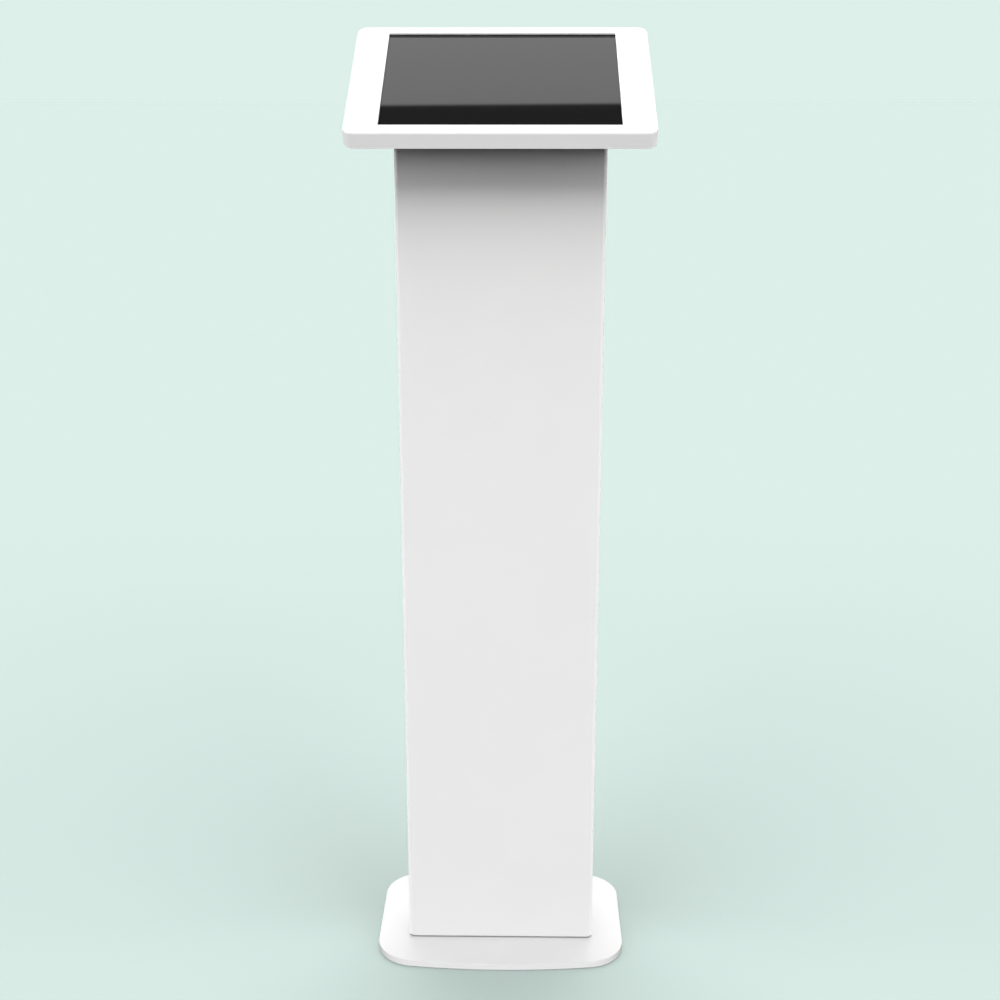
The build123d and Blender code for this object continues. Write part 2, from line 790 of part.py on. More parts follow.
tray_leaf_bottom = -tray_underside - lid_leaf_thickness
tray_leaf = lid_hinge_strip(
    first=0,
    leaf_corner=(lid_leaf_edge - lid_leaf_width, tray_leaf_bottom),
    leaf_size=(lid_leaf_width, lid_leaf_thickness),
    tongue_corner=(lid_leaf_edge, tray_leaf_bottom),
    tongue_size=(lid_hinge_up - lid_leaf_edge, lid_leaf_thickness),
)
with BuildPart() as lid_hinge_tray_leaf:
    add(tray_leaf)
    with BuildSketch(head_level(tray_underside, up=tray_rivet_up)):
        with GridLocations(lid_rivet_spacing, 1, lid_rivet_count, 1):
            Circle(lid_rivet_radius + thread_clearance)
    extrude(amount=-lid_leaf_thickness, mode=Mode.SUBTRACT)
finish_piece(lid_hinge_tray_leaf.part, "lid_hinge_tray_leaf")

lid_leaf_bottom = -head_depth + passing_gap
lid_leaf_height = head_depth - head_bend - lid_leaf_bend_gap - passing_gap
lid_leaf = lid_hinge_strip(
    first=1,
    leaf_corner=(head_length, lid_leaf_bottom),
    leaf_size=(lid_leaf_thickness, lid_leaf_height),
    tongue_corner=(head_length, -lid_hinge_depth),
    tongue_size=(lid_leaf_thickness, lid_hinge_depth + lid_leaf_bottom),
)
finish_piece(lid_leaf, "lid_hinge_lid_leaf")

with BuildPart() as lid_hinge_pin:
    with BuildSketch(lid_hinge_start):
        with Locations((lid_hinge_up, -lid_hinge_depth)):
            Circle(lid_hinge_pin_radius)
    extrude(amount=lid_hinge_length)
finish_piece(lid_hinge_pin.part, "lid_hinge_pin")

rivet_grip = tray_sheet + lid_leaf_thickness

with BuildPart() as lid_hinge_rivets:
    with BuildSketch(head_level(tray_floor, up=tray_rivet_up)):
        with GridLocations(lid_rivet_spacing, 1, lid_rivet_count, 1):
            Circle(lid_rivet_head_radius)
    extrude(amount=lid_rivet_head_height)
    with BuildSketch(head_level(tray_floor + rivet_grip, up=tray_rivet_up)):
        with GridLocations(lid_rivet_spacing, 1, lid_rivet_count, 1):
            Circle(lid_rivet_head_radius)
    extrude(amount=-lid_rivet_head_height)
    with BuildSketch(head_level(tray_floor + rivet_grip, up=tray_rivet_up)):
        with GridLocations(lid_rivet_spacing, 1, lid_rivet_count, 1):
            Circle(lid_rivet_radius)
    extrude(amount=rivet_grip)
    chamfer(edges().group_by(outward)[0], lid_rivet_head_chamfer)
finish_piece(lid_hinge_rivets.part, "lid_hinge_rivets")


# Lid lock under the right-hand side of the tray, and the hooked keeper that hangs from the lid

cam_lock("lid_lock", lid_lock_mount, tray_sheet, lid_lock_reach, lid_cam_length, 90)

lid_cam_underside = tray_underside - lid_lock_reach - cam_lift
keeper_lip_top = lid_cam_underside + cam_play
keeper_lip_bottom = keeper_lip_top + keeper_thickness
keeper_leg_inside = lid_lock_across + lid_cam_length + passing_gap

keeper_leg_outside = keeper_leg_inside + keeper_thickness
keeper_section = Plane(
    origin=face.from_local_coords(Vector(0, lid_lock_up - keeper_length / 2, 0)),
    x_dir=face.x_dir,
    z_dir=-face.y_dir,
)

with BuildPart() as lid_keeper:
    with BuildSketch(keeper_section):
        with BuildLine():
            Polyline(
                (keeper_leg_inside, -lid_sheet),
                (keeper_leg_outside, -lid_sheet),
                (keeper_leg_outside, -keeper_lip_bottom),
                (keeper_leg_outside - keeper_lip, -keeper_lip_bottom),
                (keeper_leg_outside - keeper_lip, -keeper_lip_top),
                (keeper_leg_inside, -keeper_lip_top),
                close=True,
            )
        make_face()
    extrude(amount=-keeper_length)
finish_piece(lid_keeper.part, "lid_keeper")


# Tablet: an aluminium back with a rim, the display and the cover glass set into it, three buttons
# in slots of the back's edges, and a charging port in the edge opposite the power button

tablet_middle_up = head_length / 2
button_level = tablet_back_depth - tablet_edge_fillet - button_gap - button_width / 2
slot_depth = button_depth + button_travel + button_gap

power_button_mount = Plane(
    origin=face.from_local_coords(
        Vector(-tablet_width / 2, tablet_middle_up + power_button_offset, -button_level)
    ),
    x_dir=face.y_dir,
    z_dir=(-1, 0, 0),
)
port_level = tablet_back_depth - port_above_back - port_height / 2
port_mount = Plane(
    origin=face.from_local_coords(Vector(tablet_width / 2, tablet_middle_up, -port_level)),
    x_dir=face.y_dir,
    z_dir=(1, 0, 0),
)


def volume_button_mount(place):
    """Plane on the tablet's far edge, at the first or second volume key."""
    across = -volume_button_offset - place * volume_button_spacing
    return Plane(
        origin=face.from_local_coords(
            Vector(across, tablet_middle_up + tablet_length / 2, -button_level)
        ),
        x_dir=face.x_dir,
        z_dir=face.y_dir,
    )


with BuildPart() as tablet_back:
    with BuildSketch(head_level(tablet_back_depth)):
        RectangleRounded(tablet_width, tablet_length, tablet_corner_radius)
    extrude(amount=tablet_thickness)
    fillet(faces().sort_by(outward)[0].edges(), tablet_edge_fillet)
    with BuildSketch(head_level(tablet_below_face)):
        RectangleRounded(
            tablet_width - 2 * tablet_rim,
            tablet_length - 2 * tablet_rim,
            tablet_corner_radius - tablet_rim,
        )
    extrude(amount=-glass_thickness - display_thickness, mode=Mode.SUBTRACT)
    with BuildSketch(port_mount):
        SlotOverall(port_width, port_height)
    extrude(amount=-port_depth, mode=Mode.SUBTRACT)
    with BuildSketch(power_button_mount):
        SlotOverall(power_button_length + 2 * button_gap, button_width + 2 * button_gap)
    extrude(amount=-slot_depth, mode=Mode.SUBTRACT)
    for place in range(2):
        with BuildSketch(volume_button_mount(place)):
            SlotOverall(volume_button_length + 2 * button_gap, button_width + 2 * button_gap)
        extrude(amount=-slot_depth, mode=Mode.SUBTRACT)
finish_piece(tablet_back.part, "tablet_back")


def tablet_layer(top, thickness):
    """A flat sheet that fills the tablet's rim with a small gap around it."""
    with BuildPart() as layer:
        with BuildSketch(head_level(top)):
            RectangleRounded(
                tablet_width - 2 * (tablet_rim + thread_clearance),
                tablet_length - 2 * (tablet_rim + thread_clearance),
                tablet_corner_radius - tablet_rim - thread_clearance,
            )
        extrude(amount=-thickness)
    return layer.part


finish_piece(tablet_layer(tablet_below_face, glass_thickness), "tablet_glass")
finish_piece(
    tablet_layer(tablet_below_face + glass_thickness, display_thickness), "tablet_display"
)


def tablet_button(mount, length):
    """A round-ended key that stands proud of the tablet's edge."""
    with BuildPart() as button:
        with BuildSketch(mount.offset(button_proud)):
            SlotOverall(length, button_width)
        extrude(amount=-button_proud - button_depth)
    return button.part


finish_piece(tablet_button(power_button_mount, power_button_length), "power_button")
finish_piece(tablet_button(volume_button_mount(0), volume_button_length), "volume_up_button")
finish_piece(tablet_button(volume_button_mount(1), volume_button_length), "volume_down_button")


# Corner blocks: foam blocks on the tray's floor, each with a ledge under one tablet corner

tray_bend_inside = tray_bend - tray_sheet
block_outside_x = tablet_width / 2 + corner_block_wall
block_outside_up = tray_length / 2 - tray_sheet - tray_bend_inside
block_width = corner_block_arm + corner_block_wall
block_length = block_outside_up - tablet_length / 2 + corner_block_arm
block_height = tray_floor - tablet_below_face - corner_block_drop

with BuildPart() as corner_blocks:
    with BuildSketch(head_level(tray_floor)):
        with GridLocations(
            2 * block_outside_x - block_width, 2 * block_outside_up - block_length, 2, 2
        ):
            Rectangle(block_width, block_length)
    extrude(amount=block_height)
    with BuildSketch(head_level(tablet_back_depth)):
        RectangleRounded(
            tablet_width + 2 * passing_gap,
            tablet_length + 2 * passing_gap,
            tablet_corner_radius + passing_gap,
        )
    extrude(amount=tablet_thickness, mode=Mode.SUBTRACT)
finish_piece(corner_blocks.part, "corner_blocks")
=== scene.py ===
import json
import math

import bmesh
import bpy
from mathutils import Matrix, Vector


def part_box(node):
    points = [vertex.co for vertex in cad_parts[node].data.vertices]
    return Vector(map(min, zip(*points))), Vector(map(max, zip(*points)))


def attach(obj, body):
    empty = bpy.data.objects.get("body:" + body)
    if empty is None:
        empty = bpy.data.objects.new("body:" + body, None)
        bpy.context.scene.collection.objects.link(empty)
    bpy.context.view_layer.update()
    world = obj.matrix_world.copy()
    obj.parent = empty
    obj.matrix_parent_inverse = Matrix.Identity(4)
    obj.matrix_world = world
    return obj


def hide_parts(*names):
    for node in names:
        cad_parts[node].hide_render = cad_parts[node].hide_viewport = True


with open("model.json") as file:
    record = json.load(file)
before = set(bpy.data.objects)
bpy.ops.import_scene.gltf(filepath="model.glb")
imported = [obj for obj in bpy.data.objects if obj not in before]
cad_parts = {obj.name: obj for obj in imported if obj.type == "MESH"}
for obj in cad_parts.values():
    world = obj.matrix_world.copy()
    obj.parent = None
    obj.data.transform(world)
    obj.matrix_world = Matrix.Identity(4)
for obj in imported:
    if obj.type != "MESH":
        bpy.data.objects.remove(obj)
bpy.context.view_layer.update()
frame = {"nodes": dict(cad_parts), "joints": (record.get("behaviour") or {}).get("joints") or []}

nodes = frame["nodes"]


# Powder-coated sheet steel: the base plate, the folded column with its rear door, and the head.
# The coat is baked polyester, satin, with a fine orange peel and a faint grain that only a
# raking light brings out. Each piece hangs alone in the booth, so each has its own pattern.


class Field:
    """A value over a surface: one shader socket that works in Python's own arithmetic."""

    def __init__(self, socket):
        self.socket = socket

    def node(self, kind, settings, inputs, output=0):
        """Add a node: its settings come first, then the values or links of its sockets."""
        tree = self.socket.id_data
        made = tree.nodes.new("ShaderNode" + kind)
        for name, setting in settings.items():
            setattr(made, name, setting)
        for name, value in inputs.items():
            if isinstance(value, Field):
                tree.links.new(value.socket, made.inputs[name])
            else:
                made.inputs[name].default_value = value
        return Field(made.outputs[output]) if made.outputs else None

    def maths(self, operation, *others):
        """A Math node on this value, with others after it where the operation takes more."""
        return self.node("Math", {"operation": operation}, dict(enumerate((self, *others))))

    def __add__(self, other):
        return self.maths("ADD", other)

    def __sub__(self, other):
        return self.maths("SUBTRACT", other)

    def __rsub__(self, other):
        return self.node("Math", {"operation": "SUBTRACT"}, {0: other, 1: self})

    def __mul__(self, other):
        return self.maths("MULTIPLY", other)

    __radd__ = __add__
    __rmul__ = __mul__

    def clear_of(self, low, high):
        """0 where the value is under low, 1 where it is over high, and smooth between."""
        return self.node(
            "MapRange",
            {"interpolation_type": "SMOOTHSTEP"},
            {"Value": self, "From Min": low, "From Max": high},
        )

    def noise(self, size, detail=2.0, seed=0.0):
        """Cloudy noise about 0.5 on this place, with lumps of this size in metres."""
        return self.node(
            "TexNoise",
            {"noise_dimensions": "4D"},
            {"Vector": self, "Scale": 1 / size, "Detail": detail, "W": seed},
        )

    def tint(self, low, high):
        """Mix two colours, with the value as the share of the second."""
        # A Mix node keeps its two colours in inputs 6 and 7, and their mix in output 2.
        low, high = (colour if isinstance(colour, Field) else (*colour, 1.0)
                     for colour in (low, high))
        return self.node("Mix", {"data_type": "RGBA"}, {0: self, 6: low, 7: high}, output=2)

    def relief(self, height):
        """A normal raised by the value, which stands this many metres high at 1."""
        return self.node("Bump", {}, {"Height": self, "Strength": 1.0, "Distance": height})


def finish(name, paint):
    """Make a material: paint turns the place on the object, in metres, into shader inputs."""
    made = bpy.data.materials.new(name)
    made.use_nodes = True
    made.node_tree.nodes.clear()
    place = Field(made.node_tree.nodes.new("ShaderNodeTexCoord").outputs["Object"])
    shader = place.node("BsdfPrincipled", {}, paint(place))
    place.node("OutputMaterial", {}, {"Surface": shader})
    return made


def dress(material, *names):
    """Give CAD nodes this material in place of their own."""
    for name in names:
        nodes[name].data.materials.clear()
        nodes[name].data.materials.append(material)


coat_white = (0.905, 0.905, 0.902)
coat_shade = (0.895, 0.896, 0.894)
coat_cloud_size = 0.09
coat_roughness = 0.44
orange_peel_size = 0.0022
orange_peel_height = 0.00003
grain_size = 0.0005
grain_roughness = 0.1
grain_share = 0.35


def powder_coat(seed):
    """The coat's paint function, with the pattern that this seed picks."""
    def paint(place):
        cloud = place.noise(coat_cloud_size, detail=3.0, seed=seed)
        peel = place.noise(orange_peel_size, detail=1.0, seed=seed)
        grain = place.noise(grain_size, detail=0.0, seed=seed)
        return {
            "Base Color": cloud.clear_of(0.35, 0.65).tint(coat_shade, coat_white),
            "Roughness": coat_roughness + grain_roughness * grain,
            "IOR": 1.5,
            "Normal": (peel + grain_share * grain).relief(orange_peel_height),
        }

    return paint


coated = (
    "base_plate", "column", "rear_door", "door_strike", "head_plate", "tray", "front_frame",
    "lid_keeper",
)
for seed, piece in enumerate(coated):
    dress(finish(f"powder_coat_{piece}", powder_coat(seed)), piece)


# Rubber: four foot pads glued under the plate, the bush in its cable hole, and the grommets in
# the rear outlet and in the head. Moulded, matt and slightly dusty.

rubber_black = (0.022, 0.022, 0.024)
rubber_dusty = (0.05, 0.049, 0.047)
rubber_roughness = 0.72
rubber_dust_size = 0.006
rubber_dust_roughness = 0.16
rubber_grain_size = 0.0007
rubber_grain_height = 0.00004


def moulded_rubber(place):
    dust = place.noise(rubber_dust_size, detail=3.0)
    return {
        "Base Color": dust.clear_of(0.5, 0.8).tint(rubber_black, rubber_dusty),
        "Roughness": rubber_roughness + rubber_dust_roughness * dust,
        "Normal": place.noise(rubber_grain_size).relief(rubber_grain_height),
    }


dress(finish("moulded_rubber", moulded_rubber),
      "foot_pads", "floor_bush", "outlet_grommet", "head_grommet")


# Nylon: the cable clips, open saddles up the column's inner front wall. They are injection
# moulded in black, smooth but for a faint mottle from the mould.

nylon_black = (0.025, 0.025, 0.025)
nylon_paler = (0.04, 0.04, 0.04)
nylon_roughness = 0.42
nylon_mottle_size = 0.004
nylon_shine_size = 0.001
nylon_shine_roughness = 0.12
nylon_grain_size = 0.0004
nylon_grain_height = 0.00002


def moulded_nylon(place):
    return {
        "Base Color": place.noise(nylon_mottle_size).tint(nylon_black, nylon_paler),
        "Roughness": nylon_roughness + nylon_shine_roughness * place.noise(nylon_shine_size),
        "Normal": place.noise(nylon_grain_size).relief(nylon_grain_height),
    }


dress(finish("moulded_nylon", moulded_nylon), "cable_clips")


# Zinc-plated steel: bolts, washers, nuts, screws, hinges, rivets and the cams of the locks.
# The plating is bluish bright with faint yellow clouds, and duller in small patches.

zinc_blue = (0.63, 0.65, 0.67)
zinc_yellow = (0.7, 0.68, 0.62)
zinc_roughness = 0.26
zinc_cloud_size = 0.012
zinc_patch_size = 0.002
zinc_patch_roughness = 0.2
zinc_grain_size = 0.0006
zinc_grain_height = 0.000015


def zinc_plate(place):
    cloud = place.noise(zinc_cloud_size, detail=4.0)
    patch = place.noise(zinc_patch_size, detail=3.0)
    return {
        "Base Color": cloud.clear_of(0.35, 0.7).tint(zinc_blue, zinc_yellow),
        "Metallic": 1.0,
        "Roughness": zinc_roughness + zinc_patch_roughness * patch,
        "Normal": place.noise(zinc_grain_size, detail=3.0).relief(zinc_grain_height),
    }


zinc_plated = (
    "base_washers", "base_bolts", "door_hinge_column_leaves", "door_hinge_door_leaves",
    "door_hinge_pins", "door_lock_nut", "door_lock_cam", "door_lock_cam_screw", "head_nuts",
    "head_screws", "lid_hinge_tray_leaf", "lid_hinge_lid_leaf", "lid_hinge_pin",
    "lid_hinge_rivets", "lid_lock_nut", "lid_lock_cam", "lid_lock_cam_screw",
)
dress(finish("zinc_plate", zinc_plate), *zinc_plated)
metal_pieces = [nodes[name] for name in zinc_plated]


# Screws of the door's hinges: zinc-plated pan heads with a cross recess, four into the column and
# four into the door. Each head sits where its CAD screw does, and hides the plain one.

screw_shank_radius = 0.002
screw_head_height = 0.002
screw_dome_steps = 8
screw_crown_share = 0.3
screw_rim_share = 0.4
screw_sides = 40
recess_reach = 0.0019
recess_width = 0.0009
recess_depth = 0.0013
recess_taper = 0.35
seam_width = 0.000001
crease = math.radians(35)


def loose_solids(name):
    """The lowest and highest corners of each separate solid in a CAD node."""
    shell = bmesh.new()
    shell.from_mesh(nodes[name].data)
    bmesh.ops.remove_doubles(shell, verts=shell.verts, dist=seam_width)
    waiting = set(shell.verts)
    corners = []
    while waiting:
        found = [waiting.pop()]
        for vertex in found:
            for edge in vertex.link_edges:
                other = edge.other_vert(vertex)
                if other in waiting:
                    waiting.remove(other)
                    found.append(other)
        coordinates = list(zip(*(vertex.co for vertex in found)))
        corners.append((Vector(map(min, coordinates)), Vector(map(max, coordinates))))
    shell.free()
    return corners


def turned(name, profile, sides):
    """A closed round piece about the Y axis; the profile lists (radius, y) from end to end."""
    shell = bmesh.new()
    rings = []
    for radius, y in profile:
        turns = (2 * math.pi * step / sides for step in range(sides))
        rings.append([
            shell.verts.new((radius * math.cos(turn), y, radius * math.sin(turn)))
            for turn in turns
        ])
    for lower, upper in zip(rings, rings[1:]):
        for step in range(sides):
            ahead = (step + 1) % sides
            shell.faces.new((lower[step], lower[ahead], upper[ahead], upper[step]))
    shell.faces.new(rings[0])
    shell.faces.new(reversed(rings[-1]))
    bmesh.ops.recalc_face_normals(shell, faces=shell.faces)
    made = bpy.data.meshes.new(name)
    shell.to_mesh(made)
    shell.free()
    return bpy.data.objects.new(name, made)


def recess_arm(name, depth_at, along_x):
    """A wedge that narrows inwards, which cuts one arm of the cross recess."""
    shell = bmesh.new()
    bmesh.ops.create_cube(shell, size=1)
    for vertex in shell.verts:
        inner = vertex.co.y < 0
        reach = 2 * recess_reach * (recess_taper if inner else 1)
        width = recess_width * (recess_taper if inner else 1)
        across, up = (reach, width) if along_x else (width, reach)
        y = depth_at - recess_depth if inner else depth_at + recess_depth
        vertex.co = (vertex.co.x * across, y, vertex.co.z * up)
    made = bpy.data.meshes.new(name)
    shell.to_mesh(made)
    shell.free()
    return bpy.data.objects.new(name, made)


def screw_mesh(name, head_radius, length):
    """A pan-head screw along Y with its seat at y = 0 and its head towards +Y."""
    profile = [(screw_shank_radius, -length), (screw_shank_radius, 0), (head_radius, 0)]
    for step in range(screw_dome_steps + 1):
        turn = math.pi / 2 * step / screw_dome_steps
        profile.append((
            head_radius * (screw_crown_share + (1 - screw_crown_share) * math.cos(turn)),
            screw_head_height * (screw_rim_share + (1 - screw_rim_share) * math.sin(turn)),
        ))
    head = turned(name, profile, screw_sides)
    arms = [recess_arm(f"{name}_arm", screw_head_height, along_x) for along_x in (True, False)]
    for piece in (head, *arms):
        bpy.context.scene.collection.objects.link(piece)
    for arm in arms:
        cut = head.modifiers.new("recess", "BOOLEAN")
        cut.operation = "DIFFERENCE"
        cut.object = arm
    bpy.context.view_layer.update()
    made = bpy.data.meshes.new_from_object(
        head.evaluated_get(bpy.context.evaluated_depsgraph_get()))
    for piece in (head, *arms):
        bpy.data.objects.remove(piece)
    made.name = name
    for face in made.polygons:
        face.use_smooth = True
    made.set_sharp_from_angle(angle=crease)
    return made


screw_zinc = finish("screw_zinc", zinc_plate)
for carrier, name in (("stand", "door_hinge_column_screws"), ("door", "door_hinge_door_screws")):
    for number, (low, high) in enumerate(sorted(loose_solids(name), key=lambda box: box[0].z)):
        seat = high.y - screw_head_height
        shape = screw_mesh(f"{name}_{number + 1}", (high.x - low.x) / 2, seat - low.y)
        shape.materials.append(screw_zinc)
        screw = bpy.data.objects.new(shape.name, shape)
        screw.location = ((low.x + high.x) / 2, seat, (low.z + high.z) / 2)
        bpy.context.scene.collection.objects.link(screw)
        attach(screw, carrier)
        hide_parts(name)
        metal_pieces.append(screw)


# Nickel-chromed zinc die castings: the barrels and plugs of the two cam locks. They are polished
# before they are plated, so they mirror sharply, with slight ripples and a few duller patches.

chrome = (0.78, 0.785, 0.79)
chrome_roughness = 0.06
chrome_patch_size = 0.003
chrome_patch_roughness = 0.1
chrome_ripple_size = 0.004
chrome_ripple_height = 0.00002


def bright_chrome(place):
    patch = place.noise(chrome_patch_size, detail=3.0).clear_of(0.45, 0.8)
    return {
        "Base Color": (*chrome, 1.0),
        "Metallic": 1.0,
        "Roughness": chrome_roughness + chrome_patch_roughness * patch,
        "Normal": place.noise(chrome_ripple_size).relief(chrome_ripple_height),
    }


chromed = ("door_lock_barrel", "door_lock_plug", "lid_lock_barrel", "lid_lock_plug")
dress(finish("bright_chrome", bright_chrome), *chromed)
metal_pieces += [nodes[name] for name in chromed]


# Closed-cell foam, cut from black sheet: the gasket round the window on the lid's inside, and the
# blocks on the tray's floor that carry the tablet's corners. Its cut faces show the cells.

foam_black = (0.012, 0.012, 0.013)
foam_cell_walls = (0.035, 0.035, 0.037)
foam_cells_per_metre = 1400.0
foam_cell_depth = 0.0001


def black_foam(place):
    cells = place.node("TexVoronoi", {}, {"Vector": place, "Scale": foam_cells_per_metre})
    return {
        "Base Color": cells.tint(foam_black, foam_cell_walls),
        "Roughness": 0.92,
        "Normal": cells.relief(foam_cell_depth),
    }


dress(finish("black_foam", black_foam), "window_gasket", "corner_blocks")


# Tablet: a bead-blasted aluminium back with its three keys, a display that is off, and the cover
# glass over it. The display is dark grey inside its black border, with the lens of the camera in
# the border at the user's left, and the glass is clean but for the faintest smears.

blasted_dark = (0.5, 0.505, 0.515)
blasted_light = (0.58, 0.585, 0.595)
blasted_roughness = 0.34
blasted_fleck_size = 0.0006
blasted_shine_size = 0.0012
blasted_shine_roughness = 0.08
bead_dent_size = 0.0003
bead_dent_depth = 0.000012


def blasted_aluminium(place):
    shine = place.noise(blasted_shine_size)
    return {
        "Base Color": place.noise(blasted_fleck_size, detail=1.0).tint(blasted_dark, blasted_light),
        "Metallic": 1.0,
        "Roughness": blasted_roughness + blasted_shine_roughness * shine,
        "Normal": place.noise(bead_dent_size).relief(bead_dent_depth),
    }


display_dark = (0.006, 0.006, 0.007)
display_light = (0.008, 0.008, 0.009)
display_roughness = 0.25
display_cloud_size = 0.05
display_shine_size = 0.02
display_shine_roughness = 0.05


def dark_display(place):
    shine = place.noise(display_shine_size)
    return {
        "Base Color": place.noise(display_cloud_size).tint(display_dark, display_light),
        "Roughness": display_roughness + display_shine_roughness * shine,
    }


picture_width = 0.2629
picture_height = 0.1972
picture_blur = 0.0002
screen_off = (0.0075, 0.0075, 0.008)
border_black = (0.004, 0.004, 0.0045)
lens_glass = (0.03, 0.032, 0.045)
lens_radius = 0.0011
lens_sharpness = 0.9
glass_roughness = 0.02
smear_size = 0.03
smear_roughness = 0.008

glass_low, glass_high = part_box("tablet_glass")
glass_middle = (glass_low + glass_high) / 2
lens_place = Vector(((glass_low.x - picture_width / 2) / 2, glass_middle.y, glass_middle.z))

# The volume keys slide along the slope of the head, so their joint gives its direction.
slope = Vector(next(
    joint["axis"] for joint in frame["joints"] if joint["name"] == "volume_up_press"))


def cover_glass(place):
    smear = place.noise(smear_size, detail=4.0).clear_of(0.55, 0.85)
    from_middle = place.node("VectorMath", {"operation": "SUBTRACT"}, {0: place, 1: glass_middle})
    across = from_middle.node("SeparateXYZ", {}, {0: from_middle}, output="X")
    upward = from_middle.node(
        "VectorMath", {"operation": "DOT_PRODUCT"}, {0: from_middle, 1: slope}, output="Value")
    beside = across.maths("ABSOLUTE").clear_of(picture_width / 2 - picture_blur, picture_width / 2)
    beyond = upward.maths("ABSOLUTE").clear_of(
        picture_height / 2 - picture_blur, picture_height / 2)
    face = beside.maths("MAXIMUM", beyond).tint(screen_off, border_black)
    from_lens = place.node(
        "VectorMath", {"operation": "DISTANCE"}, {0: place, 1: lens_place}, output="Value")
    lens = 1 - from_lens.clear_of(lens_sharpness * lens_radius, lens_radius)
    return {
        "Base Color": lens.tint(face, lens_glass),
        "Roughness": glass_roughness + smear_roughness * smear,
        "IOR": 1.5,
        "Coat Weight": 1.0,
        "Coat Roughness": 0.0,
        "Coat IOR": 1.43,
    }


blasted = ("tablet_back", "power_button", "volume_up_button", "volume_down_button")
dress(finish("blasted_aluminium", blasted_aluminium), *blasted)
metal_pieces += [nodes[name] for name in blasted]
dress(finish("dark_display", dark_display), "tablet_display")
dress(finish("cover_glass", cover_glass), "tablet_glass")


# Floor: a pale mint sheet that runs to the horizon, where it meets a backdrop of its own colour.
# Round the stand its colour is painted nearly four percent darker. This is a painted shade that
# stands in for the stand's soft shadow on the floor, and it fades out by 2.2 m. The sheet shows to
# the camera and takes shadows, but sends no colour back onto the white coat.

backdrop_mint = (0.722, 0.87, 0.822)
floor_radius = 150.0
floor_sides = 128
light_on_floor = 4.66
# Painted shade: near the stand the floor colour is darkened by this factor. It is full within the
# first distance and fades out by the second.
painted_shade_factor = 0.963
painted_shade_within = 0.5
painted_shade_until = 2.2


def mint_sheet_painted_shade(place):
    """The far floor is the backdrop's colour over the light that falls on it, so they blend.

    Near the stand the colour is darker: a painted shade.
    """
    from_stand = place.node("VectorMath", {"operation": "LENGTH"}, {0: place}, output="Value")
    far_mint = tuple(channel / light_on_floor for channel in backdrop_mint)
    # The near colour is a painted shade: a darker mint that stands in for the stand's shadow on the
    # floor.
    painted_shade_mint = tuple(channel * painted_shade_factor for channel in far_mint)
    return {
        "Base Color": from_stand.clear_of(painted_shade_within, painted_shade_until).tint(painted_shade_mint, far_mint),
        "Roughness": 1.0,
        "Specular IOR Level": 0.0,
    }


floor_disc = bmesh.new()
bmesh.ops.create_circle(floor_disc, cap_ends=True, segments=floor_sides, radius=floor_radius)
floor_mesh = bpy.data.meshes.new("floor")
floor_disc.to_mesh(floor_mesh)
floor_disc.free()
floor_mesh.materials.append(finish("mint_sheet_painted_shade", mint_sheet_painted_shade))
floor = bpy.data.objects.new("floor", floor_mesh)
bpy.context.scene.collection.objects.link(floor)
floor.visible_diffuse = False
floor.visible_glossy = False
floor.visible_transmission = False
floor.visible_shadow = False


# Light: an even white dome, nearly dark below the horizon. High behind the stand hangs a brighter
# card, whose upper edge ends at a dark gap: the cover glass mirrors that edge.

dome_front = 0.8
dome_back = 0.75
dome_turn = 0.2
dome_sides = 0.1
dome_sides_from = 0.5
dome_sides_full = 0.9
dome_below = 0.02
horizon_low = -0.02
horizon_high = 0.03
card_light = 0.97
card_elevation = math.radians(60)
card_core = math.cos(math.radians(15))
card_rim = math.cos(math.radians(30))
gap_light = 0.06
gap_elevation = math.radians(61.72)
gap_slant = 0.0077
gap_width = math.sin(math.radians(14))
gap_near_edge = (-0.001, 0.0015)
gap_far_edge = (gap_width, gap_width + 0.05)
gap_end = (0.4, 0.7)

world = bpy.data.worlds.new("studio")
world.use_nodes = True
world.node_tree.nodes.clear()
towards = Field(world.node_tree.nodes.new("ShaderNodeTexCoord").outputs["Generated"])
side, back, up = (towards.node("SeparateXYZ", {}, {0: towards}, output=axis) for axis in "XYZ")
sideways = side.maths("ABSOLUTE")
sky = dome_front + (dome_back - dome_front) * back.clear_of(-dome_turn, dome_turn)
sky = sky + dome_sides * sideways.clear_of(dome_sides_from, dome_sides_full)
card = back * math.cos(card_elevation) + up * math.sin(card_elevation)
sky = sky + (card_light - sky) * card.clear_of(card_rim, card_core)
dome = dome_below + (sky - dome_below) * up.clear_of(horizon_low, horizon_high)
past_gap = up * math.cos(gap_elevation) - back * math.sin(gap_elevation) + gap_slant * side
gap = past_gap.clear_of(*gap_near_edge) * (1 - past_gap.clear_of(*gap_far_edge))
near_middle = 1 - sideways.clear_of(*gap_end)
light = dome + (gap_light - dome) * (gap * near_middle)
lit = light.node("Background", {}, {"Color": (1, 1, 1, 1), "Strength": light})
plain = light.node("Background", {}, {"Color": (*backdrop_mint, 1), "Strength": 1.0})
to_camera = light.node("LightPath", {}, {}, output="Is Camera Ray")
seen = to_camera.node("MixShader", {}, {0: to_camera, 1: lit, 2: plain})
seen.node("OutputWorld", {}, {"Surface": seen})
bpy.context.scene.world = world


# Soft boxes, far off and flagged so that each reaches only the pieces it is meant for. Azimuth 0
# is the user's side, 90 the user's right, and 180 behind the stand.


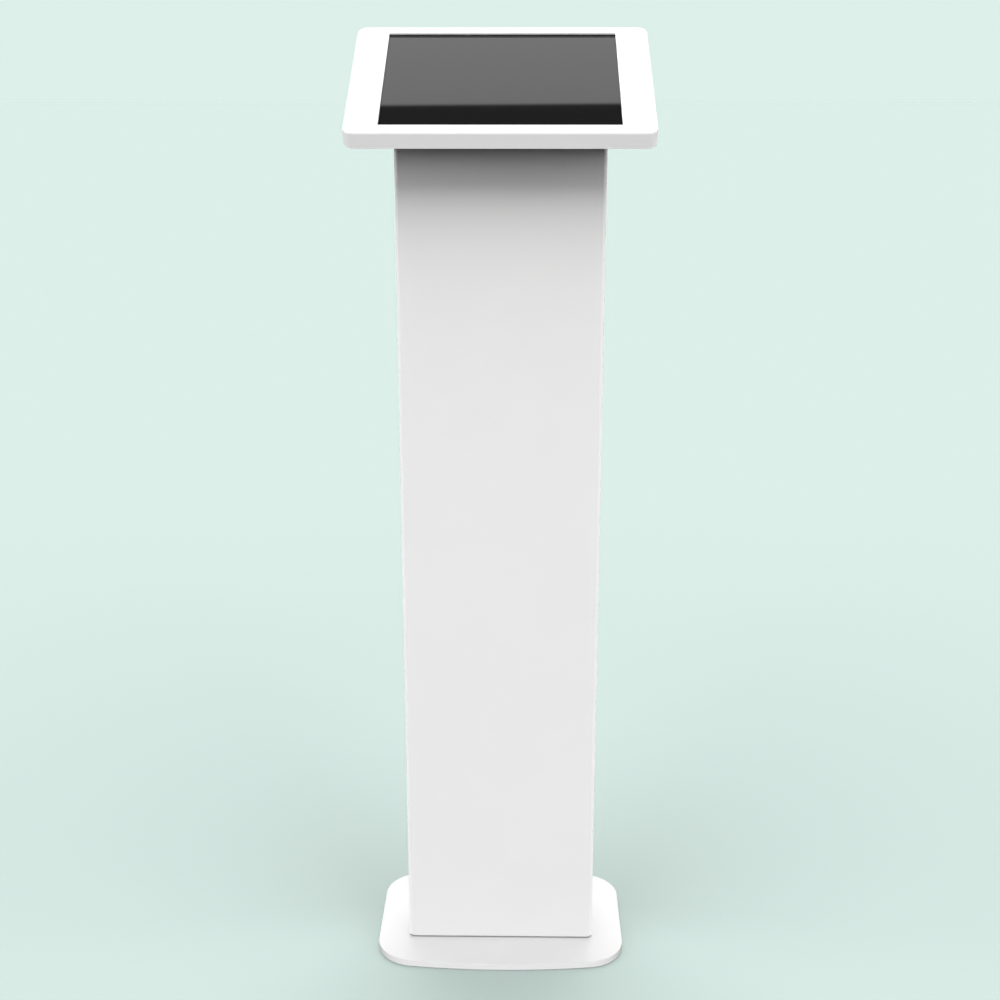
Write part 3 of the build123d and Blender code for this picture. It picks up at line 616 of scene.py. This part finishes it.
def soft_box(name, azimuth, elevation, light, spread, receivers, mirrored=False):
    """A soft box that gives this light on a card that faces it; spread is how wide it looks."""
    lamp = bpy.data.lights.new(name, "SUN")
    lamp.energy = math.pi * light
    lamp.angle = math.radians(spread)
    box = bpy.data.objects.new(name, lamp)
    turn, rise = math.radians(azimuth), math.radians(elevation)
    towards_box = Vector((
        math.sin(turn) * math.cos(rise), -math.cos(turn) * math.cos(rise), math.sin(rise)))
    box.rotation_euler = (-towards_box).to_track_quat("-Z", "Y").to_euler()
    bpy.context.scene.collection.objects.link(box)
    box.visible_glossy = mirrored
    box.visible_transmission = False
    group = bpy.data.collections.new(name)
    for receiver in receivers:
        group.objects.link(receiver)
    box.light_linking.receiver_collection = group


def soft_pair(name, azimuth, elevation, light, spread, receivers):
    """The same soft box on the user's left and right."""
    for hand, sign in (("left", -1), ("right", 1)):
        soft_box(f"{name}_{hand}_box", sign * azimuth, elevation, light, spread, receivers)


stand_pieces = list(nodes.values())
base_plate, column, rear_door = nodes["base_plate"], nodes["column"], nodes["rear_door"]
front_frame, tray = nodes["front_frame"], nodes["tray"]

soft_box("back_box", 180, 65, 0.31, 45, stand_pieces)
soft_box("floor_top_box", 0, 85, 0.9, 40, [floor])
soft_box("floor_back_box", 180, 62, 1.5, 45, [floor])
soft_pair("floor", 60, 38, 1.35, 60, [floor])
soft_box("column_box", 0, 70, 1.38, 56, [column])
soft_pair("side", 98, 20, 0.42, 50, [column, rear_door, front_frame, tray])
soft_box("lid_box", 0, -45, 0.42, 40, [front_frame])
soft_box("face_box", 0, 45, 0.35, 50, [front_frame])
soft_box("plate_box", 180, 60, 0.12, 20, [base_plate])
soft_pair("plate", 60, 55, 0.02, 30, [base_plate])
soft_box("edge_box", 0, -30, 0.56, 40, [base_plate])
soft_box("tray_box", 180, -60, 0.3, 60, [tray])
soft_box("rear_box", 180, 40, 0.3, 50, [column, rear_door, tray])

# The base plate and the tray throw no light back onto the pieces above and below them. The rays
# that gather light miss the tray, so its shadow on the column's sides differs between renders.
base_plate.visible_diffuse = False
tray.visible_diffuse = False


# Below the horizon there is only darkness to mirror, so bare metal has four wide cards low round
# the stand to itself, in place of the pale room.

low_card_light = 0.3
low_card_elevation = -12
low_card_spread = 95
for quarter, azimuth in (("front", 0), ("right", 90), ("rear", 180), ("left", -90)):
    soft_box(f"{quarter}_card", azimuth, low_card_elevation, low_card_light, low_card_spread,
             metal_pieces, mirrored=True)


# Camera: a 50 mm lens, 1.7 m in front of the stand and level with its head, tipped down by 16
# degrees for a square picture. Colours are shown as they are, with no film curve over them.

camera_place = (0.0242, -1.6666, 1.0833)
camera_pitch = 16.295
camera_turn = 0.881
focal_pixels = 1402.3
picture_pixels = 1000
sensor_width = 36.0

lens = bpy.data.cameras.new("camera")
lens.sensor_width = sensor_width
lens.lens = sensor_width * focal_pixels / picture_pixels
camera = bpy.data.objects.new("camera", lens)
camera.location = camera_place
camera.rotation_euler = (math.radians(90 - camera_pitch), 0, math.radians(camera_turn))
bpy.context.scene.collection.objects.link(camera)
bpy.context.scene.camera = camera
bpy.context.scene.view_settings.view_transform = "Standard"
